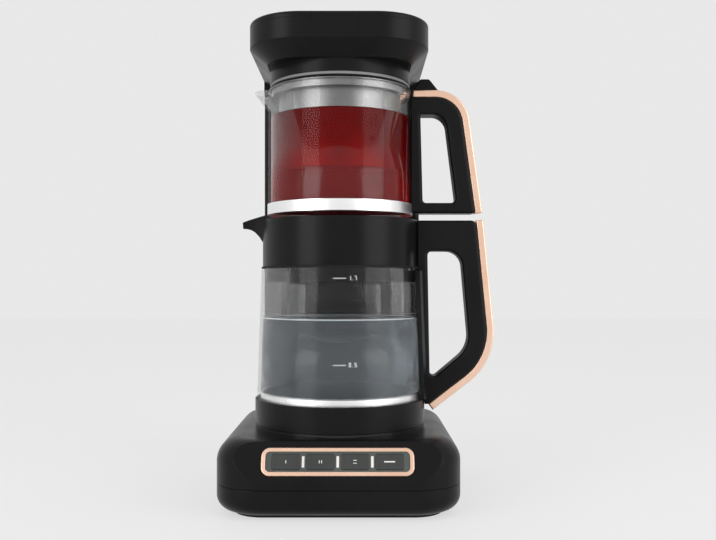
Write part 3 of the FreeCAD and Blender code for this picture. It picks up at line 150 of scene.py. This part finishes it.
def clear(name, colour, ior, grain, relief, rough=(0.0, 0.03), passing=0.85,
          transmission=1.0, presence=1.0):
    """Glass or liquid. Presence is how much of it shows, and passing is the share of its
    shadow that is left out, so that light reaches what is inside."""
    material, tree, shader = tree_of(name)
    smudge = noise_of(tree, grain, detail=4.0)
    tree.links.new(ranged(tree, smudge, rough, start=0.45, stop=0.8),
                   shader.inputs["Roughness"])
    ripple = noise_of(tree, scale=14, detail=1.0)
    bumped(tree, shader, ripple, relief, strength=0.5)
    shader.inputs["Base Color"].default_value = (*colour, 1)
    shader.inputs["IOR"].default_value = ior
    shader.inputs["Transmission Weight"].default_value = transmission
    path = tree.nodes.new("ShaderNodeLightPath")
    keep = tree.nodes.new("ShaderNodeMath")
    keep.operation = "MULTIPLY_ADD"
    keep.inputs[1].default_value = -passing * presence
    keep.inputs[2].default_value = presence
    tree.links.new(path.outputs["Is Shadow Ray"], keep.inputs[0])
    tree.links.new(keep.outputs["Value"], shader.inputs["Alpha"])
    return material


def make_materials():
    """Every material of the scene but the floor's, by a short name."""
    return {
        # Black and dark plastics of the outside
        "gloss": plastic("black_gloss", (0.0040, 0.0040, 0.0044), (0.0065, 0.0065, 0.007),
                         rough=(0.27, 0.35), grain=700, relief=0.000008, specular=0.13,
                         edge=0.0008),
        "satin": plastic("black_satin", (0.0055, 0.0055, 0.006), (0.0085, 0.0085, 0.009),
                         rough=(0.36, 0.46), grain=1400, relief=0.00002, specular=0.10,
                         edge=0.0008),
        "shell": plastic("black_shell", (0.0045, 0.0045, 0.005), (0.0075, 0.0075, 0.008),
                         rough=(0.28, 0.38), grain=1100, relief=0.000015, specular=0.12,
                         edge=0.0009),
        "platform": plastic("platform_black", (0.005, 0.005, 0.006), (0.009, 0.009, 0.010),
                            rough=(0.12, 0.22), grain=500, relief=0.000006, specular=0.35,
                            edge=0.0005),
        "window": plastic("panel_window", (0.040, 0.050, 0.043), (0.070, 0.084, 0.074),
                          rough=(0.07, 0.14), grain=300, relief=0.000004, edge=0.0002,
                          coat=0.4),
        "key": plastic("key_black", (0.020, 0.022, 0.020), (0.032, 0.035, 0.032),
                       rough=(0.12, 0.2), grain=800, relief=0.000006, coat=0.3),
        "light": plastic("key_light", (0.70, 0.66, 0.63), (0.84, 0.80, 0.77),
                         rough=(0.2, 0.35), grain=600, relief=0.00001, edge=0.0002),
        # Rubber, silicone and the parts inside
        "rubber": plastic("rubber_black", (0.008, 0.008, 0.008), (0.016, 0.016, 0.016),
                          rough=(0.6, 0.8), grain=1600, relief=0.00006, specular=0.2),
        "milky": plastic("silicone_milky", (0.60, 0.60, 0.57), (0.72, 0.72, 0.69),
                         rough=(0.4, 0.55), grain=900, relief=0.00002, specular=0.4),
        "grey": plastic("silicone_grey", (0.15, 0.15, 0.155), (0.24, 0.24, 0.245),
                        rough=(0.42, 0.6), grain=1300, relief=0.00003, specular=0.4),
        "board": plastic("board_green", (0.010, 0.070, 0.026), (0.016, 0.105, 0.040),
                         rough=(0.32, 0.5), grain=500, relief=0.00004, edge=0.0001),
        "moulded": plastic("board_parts", (0.03, 0.03, 0.034), (0.07, 0.07, 0.075),
                           rough=(0.4, 0.6), grain=900, relief=0.00003),
        "white": plastic("white_plastic", (0.55, 0.55, 0.53), (0.68, 0.68, 0.66),
                         rough=(0.35, 0.5), grain=1200, relief=0.00002, edge=0.0004),
        # Prints on the glass and the keys, and a painted highlight: the pale line where the
        # water ends, in place of the light that the meniscus catches
        "print": plastic("mark_print", (0.66, 0.66, 0.65), (0.80, 0.80, 0.79),
                         rough=(0.4, 0.55), grain=900, relief=0.000004, specular=0.3,
                         edge=0.0),
        # The water line's pale colour is a painted highlight, not a mark on the glass
        "edge": plastic("painted_water_line_highlight", (0.55, 0.60, 0.63), (0.72, 0.77, 0.80),
                        rough=(0.1, 0.2), grain=90, relief=0.00001, edge=0.0),
        # Metals
        "rose": metal("rose_gold", (0.90, 0.58, 0.43), (0.95, 0.67, 0.52),
                      rough=(0.30, 0.38), grain=500, relief=0.000002, edge=0.0007),
        "band": metal("band_steel", (0.90, 0.90, 0.91), (0.97, 0.97, 0.97),
                      rough=(0.28, 0.38), grain=260, relief=0.000003, stretch=(1, 1, 10)),
        "plate": metal("plate_steel", (0.84, 0.84, 0.85), (0.93, 0.93, 0.93),
                       rough=(0.30, 0.42), grain=260, relief=0.000006),
        "steel": metal("brushed_steel", (0.52, 0.52, 0.53), (0.64, 0.64, 0.65),
                       rough=(0.22, 0.36), grain=320, relief=0.00001, stretch=(1, 1, 14),
                       edge=0.0003),
        "basket": metal("basket_steel", (0.16, 0.16, 0.16), (0.26, 0.26, 0.26),
                        rough=(0.25, 0.4), grain=320, relief=0.00001, stretch=(1, 1, 14),
                        edge=0.0003),
        "screw": metal("screw_steel", (0.30, 0.30, 0.31), (0.46, 0.46, 0.47),
                       rough=(0.25, 0.4), grain=900, relief=0.00002),
        "alloy": metal("cast_alloy", (0.55, 0.55, 0.56), (0.68, 0.68, 0.69),
                       rough=(0.4, 0.6), grain=700, relief=0.00004, edge=0.0004),
        "brass": metal("brass", (0.66, 0.45, 0.16), (0.78, 0.58, 0.24),
                       rough=(0.2, 0.32), grain=500, relief=0.000006, stretch=(12, 1, 1)),
        # Clear glass, and strong red tea that only partly shows what is in it
        "glass": clear("pot_glass", (0.975, 0.985, 0.985), ior=1.47, grain=60,
                       relief=0.00002, presence=0.2),
        "tea": clear("tea_red", (0.44, 0.003, 0.003), ior=1.33, grain=20,
                     relief=0.00001, passing=0.6, transmission=0.78),
        "water": clear("water_clear", (0.78, 0.85, 0.90), ior=1.33, grain=20,
                       relief=0.00001, transmission=0.95, presence=0.85),
    }


MATERIAL_OF = {
    "base_tray": "shell", "base_housing": "shell", "foot_strip": "rubber",
    "pot_platform": "platform", "panel_bezel": "rose", "panel_inlay": "window",
    "key_1": "key", "key_2": "key", "key_3": "key", "key_4": "key", "key_lights": "light",
    "key_board": "board", "key_switches": "moulded", "power_board": "board",
    "board_parts": "moulded", "water_pump": "white", "pump_motor": "alloy",
    "pump_cradle": "satin", "suction_hose": "milky", "riser_hose": "milky",
    "dock_plug": "satin", "dock_pins": "brass", "water_nipple": "steel",
    "cord_gland": "rubber", "tower_front": "shell", "tower_back": "satin",
    "head_shell": "shell", "head_cover": "shell", "neck_seal": "grey",
    "shower_plate": "steel", "spray_cup": "white", "base_screws": "screw",
    "tower_screws": "screw", "kettle_base_ring": "gloss", "kettle_floor": "satin",
    "plate_seal": "grey", "heating_plate": "plate", "heat_spreader": "alloy",
    "heating_element": "steel", "thermostat": "white", "outlet_elbow": "steel",
    "dock_socket": "satin", "kettle_glass": "glass", "collar_gasket": "rubber",
    "kettle_collar": "gloss", "spout_strainer": "steel", "kettle_handle": "satin",
    "kettle_handle_strip": "rose", "teapot_glass": "glass", "teapot_foot_band": "band",
    "infuser_basket": "basket", "teapot_handle": "satin", "teapot_handle_strip": "rose",
    "thumb_rest": "satin",
}


def dress_nodes(made):
    for name, node in NODES.items():
        node.data.materials.clear()
        node.data.materials.append(made[MATERIAL_OF[name]])


# Mesh helpers
def mesh_object(name, build, material, body, smooth=True):
    """A piece from a bmesh builder, riding on a body."""
    bm = bmesh.new()
    build(bm)
    bmesh.ops.recalc_face_normals(bm, faces=bm.faces)
    mesh = bpy.data.meshes.new(name)
    bm.to_mesh(mesh)
    bm.free()
    for face in mesh.polygons:
        face.use_smooth = smooth
    mesh.materials.append(material)
    thing = bpy.data.objects.new(name, mesh)
    bpy.context.scene.collection.objects.link(thing)
    if body:
        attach(thing, body)
    return thing


def turned(bm, profile, steps=160):
    """A closed form turned about the pot axis from (radius, height) points."""
    rings = []
    for radius, height in profile:
        if radius == 0:
            rings.append([bm.verts.new((0, 0, height))])
            continue
        ring = []
        for i in range(steps):
            angle = 2 * math.pi * i / steps
            ring.append(bm.verts.new(
                (radius * math.cos(angle), radius * math.sin(angle), height)))
        rings.append(ring)
    for low, high in zip(rings, rings[1:]):
        for i in range(steps):
            j = (i + 1) % steps
            if len(low) == 1:
                bm.faces.new((low[0], high[j], high[i]))
            elif len(high) == 1:
                bm.faces.new((low[i], low[j], high[0]))
            else:
                bm.faces.new((low[i], low[j], high[j], high[i]))


# Liquids, filled to a height over the table and reaching a little into what holds them
TEA_TOP = 0.332
WATER_TOP = 0.156
OVERLAP = 0.0002

KETTLE_WALL = 0.003
KETTLE_TAPER = 0.0041
TEAPOT_WALL = 0.0025
TEAPOT_FLOOR = 0.0057

# Points of the tea's rounded foot and of both raised edges, as (inwards, upwards)
TEA_FOOT = ((0.0032, -OVERLAP), (0.0012, 0.0006), (0, 0.003))
TEA_EDGE = ((0, 0.0012), (0.0008, 0.0004), (0.0026, 0))
WATER_CLIMB = 0.001
WATER_EDGE = ((0.0012, 0.0003), (0.003, 0))

# A painted highlight: a pale line on the glass just above the water's level, where the
# meniscus catches the light
LINE_GAP = 0.0001
LINE_WIDTH = 0.0014
LINE_LOW = 0.0009
LINE_HIGH = 0.0018


def glass_radius(height):
    """Outer radius of the kettle's tapered glass at a height."""
    low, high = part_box("kettle_glass")
    share = (height - low[2]) / (high[2] - low[2])
    return high[0] - KETTLE_TAPER * share


def water_radius(height):
    """Where the water meets the glass, a little into it."""
    return glass_radius(height) - KETTLE_WALL + OVERLAP


def inwards_from(radius, height, points):
    return [(radius - inwards, height + upwards) for inwards, upwards in points]


def tea(made):
    """Tea in the teapot, from the glass floor to a slightly raised edge."""
    low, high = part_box("teapot_glass")
    floor = low[2] + TEAPOT_FLOOR
    radius = high[0] - TEAPOT_WALL + OVERLAP
    profile = [(0, floor - OVERLAP), *inwards_from(radius, floor, TEA_FOOT),
               *inwards_from(radius, TEA_TOP, TEA_EDGE), (0, TEA_TOP)]
    mesh_object("tea", lambda bm: turned(bm, profile), made["tea"], "teapot")


def water(made):
    """Water over the heating plate, and a painted highlight: a pale line where it climbs the
    glass.
    """
    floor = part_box("heating_plate")[1][2] - OVERLAP
    radius = water_radius(WATER_TOP)
    profile = [(0, floor), (water_radius(floor), floor),
               (water_radius(WATER_TOP + WATER_CLIMB), WATER_TOP + WATER_CLIMB),
               *inwards_from(radius, WATER_TOP, WATER_EDGE), (0, WATER_TOP)]
    mesh_object("water", lambda bm: turned(bm, profile), made["water"], "kettle")
    outer = radius - OVERLAP - LINE_GAP
    line = [(outer - LINE_WIDTH, WATER_TOP + LINE_LOW), (outer, WATER_TOP + LINE_LOW),
            (outer, WATER_TOP + LINE_HIGH), (outer - LINE_WIDTH, WATER_TOP + LINE_LOW)]
    # The pale ring is a painted highlight, standing in for the light that the meniscus
    # catches
    mesh_object("water_line_highlight", lambda bm: turned(bm, line), made["edge"], "kettle")


# Marks, made of strokes: (left, low, width, height) from the middle of the mark
PRINT_THICKNESS = 0.0001

# A level mark: a tick and a plain number of two digits with a point between them
LEVELS = (("mark_full", 0.1915, "17"), ("mark_low", 0.121, "05"))
MARK_GAP = 0.0001
MARK_STEPS = 6
TICK = (-0.0043, -0.0003, 0.0105, 0.0006)
POINT = (0.0116, -0.0016, 0.0005, 0.0005)
DIGITS_LEFT = (0.0086, 0.0133)
DIGIT_LOW = -0.0016
DIGIT_TALL = 0.0036
DIGIT_LINE = 0.0005
SEGMENTS = {"0": "abcdef", "1": "bc", "5": "afgcd", "7": "abc"}

# The keys' faces slope with the panel and stand before the middle of the window plate
PANEL_SLOPE = math.radians(65)
KEY_RISE = 0.00102
KEY_STROKES = {
    "key_1": [(-0.0003, -0.0012, 0.0006, 0.0024)],
    "key_2": [(-0.0012, -0.0012, 0.0006, 0.0024), (0.0006, -0.0012, 0.0006, 0.0024)],
    "key_3": [(-0.0014, -0.0014, 0.0028, 0.0005), (-0.0014, 0.0009, 0.0028, 0.0005)],
    "key_4": [(-0.0043, -0.0005, 0.0086, 0.0010)],
}


def digit(shown, left):
    """The strokes of one plain digit, half as wide as it is tall."""
    half = DIGIT_TALL / 2
    right = left + half - DIGIT_LINE
    middle = DIGIT_LOW + half
    places = {
        "a": (left, DIGIT_LOW + DIGIT_TALL - DIGIT_LINE, half, DIGIT_LINE),
        "b": (right, middle, DIGIT_LINE, half),
        "c": (right, DIGIT_LOW, DIGIT_LINE, half),
        "d": (left, DIGIT_LOW, half, DIGIT_LINE),
        "e": (left, DIGIT_LOW, DIGIT_LINE, half),
        "f": (left, middle, DIGIT_LINE, half),
        "g": (left, middle - DIGIT_LINE / 2, half, DIGIT_LINE),
    }
    return [places[name] for name in SEGMENTS[shown]]


def raised_stroke(bm, stroke, spot, steps):
    """A thin bar whose corners spot() places from (across, up, out)."""
    left, low, wide, tall = stroke
    section = ((low, 0), (low, PRINT_THICKNESS),
               (low + tall, PRINT_THICKNESS), (low + tall, 0))
    rows = []
    for i in range(steps + 1):
        across = left + wide * i / steps
        rows.append([bm.verts.new(spot(across, up, out)) for up, out in section])
    for near, far in zip(rows, rows[1:]):
        for k in range(4):
            bm.faces.new((near[k], near[(k + 1) % 4], far[(k + 1) % 4], far[k]))
    bm.faces.new(rows[0])
    bm.faces.new(rows[-1][::-1])


def marks(name, strokes, spot, made, body, steps):
    """One piece of all the strokes of a mark."""
    def build(bm):
        for stroke in strokes:
            raised_stroke(bm, stroke, spot, steps)
    mesh_object(name, build, made["print"], body, False)


def level_marks(made):
    """A tick with a plain number on the kettle's glass at each water level."""
    for name, height, digits in LEVELS:
        radius = glass_radius(height) + MARK_GAP

        def spot(across, up, out):
            angle = across / radius
            far = radius + out
            return far * math.sin(angle), -far * math.cos(angle), height + up
        strokes = [TICK, POINT]
        for shown, left in zip(digits, DIGITS_LEFT):
            strokes += digit(shown, left)
        marks(name, strokes, spot, made, "kettle", MARK_STEPS)


def key_marks(made):
    """Small plain marks on the four keys."""
    low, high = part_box("panel_inlay")
    middle = (Vector(low) + Vector(high)) / 2
    up_panel = Vector((0, math.cos(PANEL_SLOPE), math.sin(PANEL_SLOPE)))
    out_panel = Vector((0, -math.sin(PANEL_SLOPE), math.cos(PANEL_SLOPE)))
    for key, strokes in KEY_STROKES.items():
        key_low, key_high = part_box(key)
        centre = Vector(((key_low[0] + key_high[0]) / 2, middle.y, middle.z))

        def spot(across, up, out):
            return (centre + Vector((across, 0, 0)) + up_panel * up
                    + out_panel * (KEY_RISE + out))
        marks(key + "_mark", strokes, spot, made, key, 1)


# Stage: the shade seen behind the machine, the light that falls on it, and the floor
SEEN_SHADE = 0.81
LIT_SHADE = 0.80
LIT_STRENGTH = 0.9

FLOOR_SIDE = 8
FLOOR_STEPS = 24
FLOOR_DROP = 0.0002
FLOOR_DARK = (0.80, 0.80, 0.80)
FLOOR_LIGHT = (0.83, 0.83, 0.83)
FLOOR_ROUGH = (0.5, 0.65)
FLOOR_SPECULAR = 0.2
FLOOR_RELIEF = 0.00002
GLOW_SHADE = 0.87
GLOW_SHARE = 0.7

# Soft boxes as (name, place, (width, height), watts), turned to the middle of the pots
SOFT_BOXES = (
    ("soft_left", (-0.95, -0.95, 0.55), (0.70, 1.2), 8.0),
    ("soft_right", (1.05, -0.75, 0.50), (0.85, 1.2), 8.0),
)
SOFT_BOX_TARGET = Vector((0, 0, 0.22))


def grey(shade):
    return shade, shade, shade, 1


def seen_directly(tree):
    """1 for rays from the camera or by way of a mirror or clear piece, else 0."""
    path = tree.nodes.new("ShaderNodeLightPath")
    value = path.outputs["Is Camera Ray"]
    for ray in ("Is Glossy Ray", "Is Transmission Ray"):
        either = tree.nodes.new("ShaderNodeMath")
        either.operation = "MAXIMUM"
        tree.links.new(value, either.inputs[0])
        tree.links.new(path.outputs[ray], either.inputs[1])
        value = either.outputs["Value"]
    return value


def surroundings():
    """A pale surrounding that shows at one shade and lights at a plain level."""
    world = bpy.data.worlds.new("studio")
    bpy.context.scene.world = world
    world.use_nodes = True
    tree = world.node_tree
    seen = tree.nodes["Background"]
    seen.inputs["Color"].default_value = grey(SEEN_SHADE)
    seen.inputs["Strength"].default_value = 1.0
    lit = tree.nodes.new("ShaderNodeBackground")
    lit.inputs["Color"].default_value = grey(LIT_SHADE)
    lit.inputs["Strength"].default_value = LIT_STRENGTH
    mix = tree.nodes.new("ShaderNodeMixShader")
    tree.links.new(seen_directly(tree), mix.inputs["Fac"])
    tree.links.new(lit.outputs["Background"], mix.inputs[1])
    tree.links.new(seen.outputs["Background"], mix.inputs[2])
    tree.links.new(mix.outputs["Shader"], tree.nodes["World Output"].inputs["Surface"])


def floor_material():
    """Pale floor that fades into the surroundings and keeps a soft shadow."""
    material, tree, shader = tree_of("floor_pale")
    grain = noise_of(tree, scale=6)
    tree.links.new(blended(tree, grain, FLOOR_DARK, FLOOR_LIGHT), shader.inputs["Base Color"])
    tree.links.new(ranged(tree, grain, FLOOR_ROUGH), shader.inputs["Roughness"])
    bumped(tree, shader, noise_of(tree, scale=400, detail=2.0), FLOOR_RELIEF)
    shader.inputs["Specular IOR Level"].default_value = FLOOR_SPECULAR
    glow = tree.nodes.new("ShaderNodeEmission")
    glow.inputs["Color"].default_value = grey(GLOW_SHADE)
    share = tree.nodes.new("ShaderNodeMath")
    share.operation = "MULTIPLY"
    share.inputs[1].default_value = GLOW_SHARE
    tree.links.new(seen_directly(tree), share.inputs[0])
    mix = tree.nodes.new("ShaderNodeMixShader")
    tree.links.new(share.outputs["Value"], mix.inputs["Fac"])
    tree.links.new(shader.outputs["BSDF"], mix.inputs[1])
    tree.links.new(glow.outputs["Emission"], mix.inputs[2])
    tree.links.new(mix.outputs["Shader"], tree.nodes["Material Output"].inputs["Surface"])
    return material


def lay_floor():
    def sheet(bm):
        places = [FLOOR_SIDE * (i / FLOOR_STEPS - 0.5) for i in range(FLOOR_STEPS + 1)]
        rows = [[bm.verts.new((x, y, 0)) for x in places] for y in places]
        for near, far in zip(rows, rows[1:]):
            for j in range(FLOOR_STEPS):
                bm.faces.new((near[j], near[j + 1], far[j + 1], far[j]))
    floor = mesh_object("floor", sheet, floor_material(), None, False)
    floor.location.z = -FLOOR_DROP


def hang_soft_boxes():
    for name, place, size, watts in SOFT_BOXES:
        lamp = bpy.data.lights.new(name, "AREA")
        lamp.shape = "RECTANGLE"
        lamp.size, lamp.size_y = size
        lamp.energy = watts
        thing = bpy.data.objects.new(name, lamp)
        bpy.context.scene.collection.objects.link(thing)
        thing.location = place
        look = SOFT_BOX_TARGET - Vector(place)
        thing.rotation_euler = look.to_track_quat("-Z", "Y").to_euler()


def main():
    make_camera()
    bpy.context.scene.view_settings.view_transform = "Standard"
    made = make_materials()
    dress_nodes(made)
    tea(made)
    water(made)
    level_marks(made)
    key_marks(made)
    surroundings()
    lay_floor()
    hang_soft_boxes()


main()
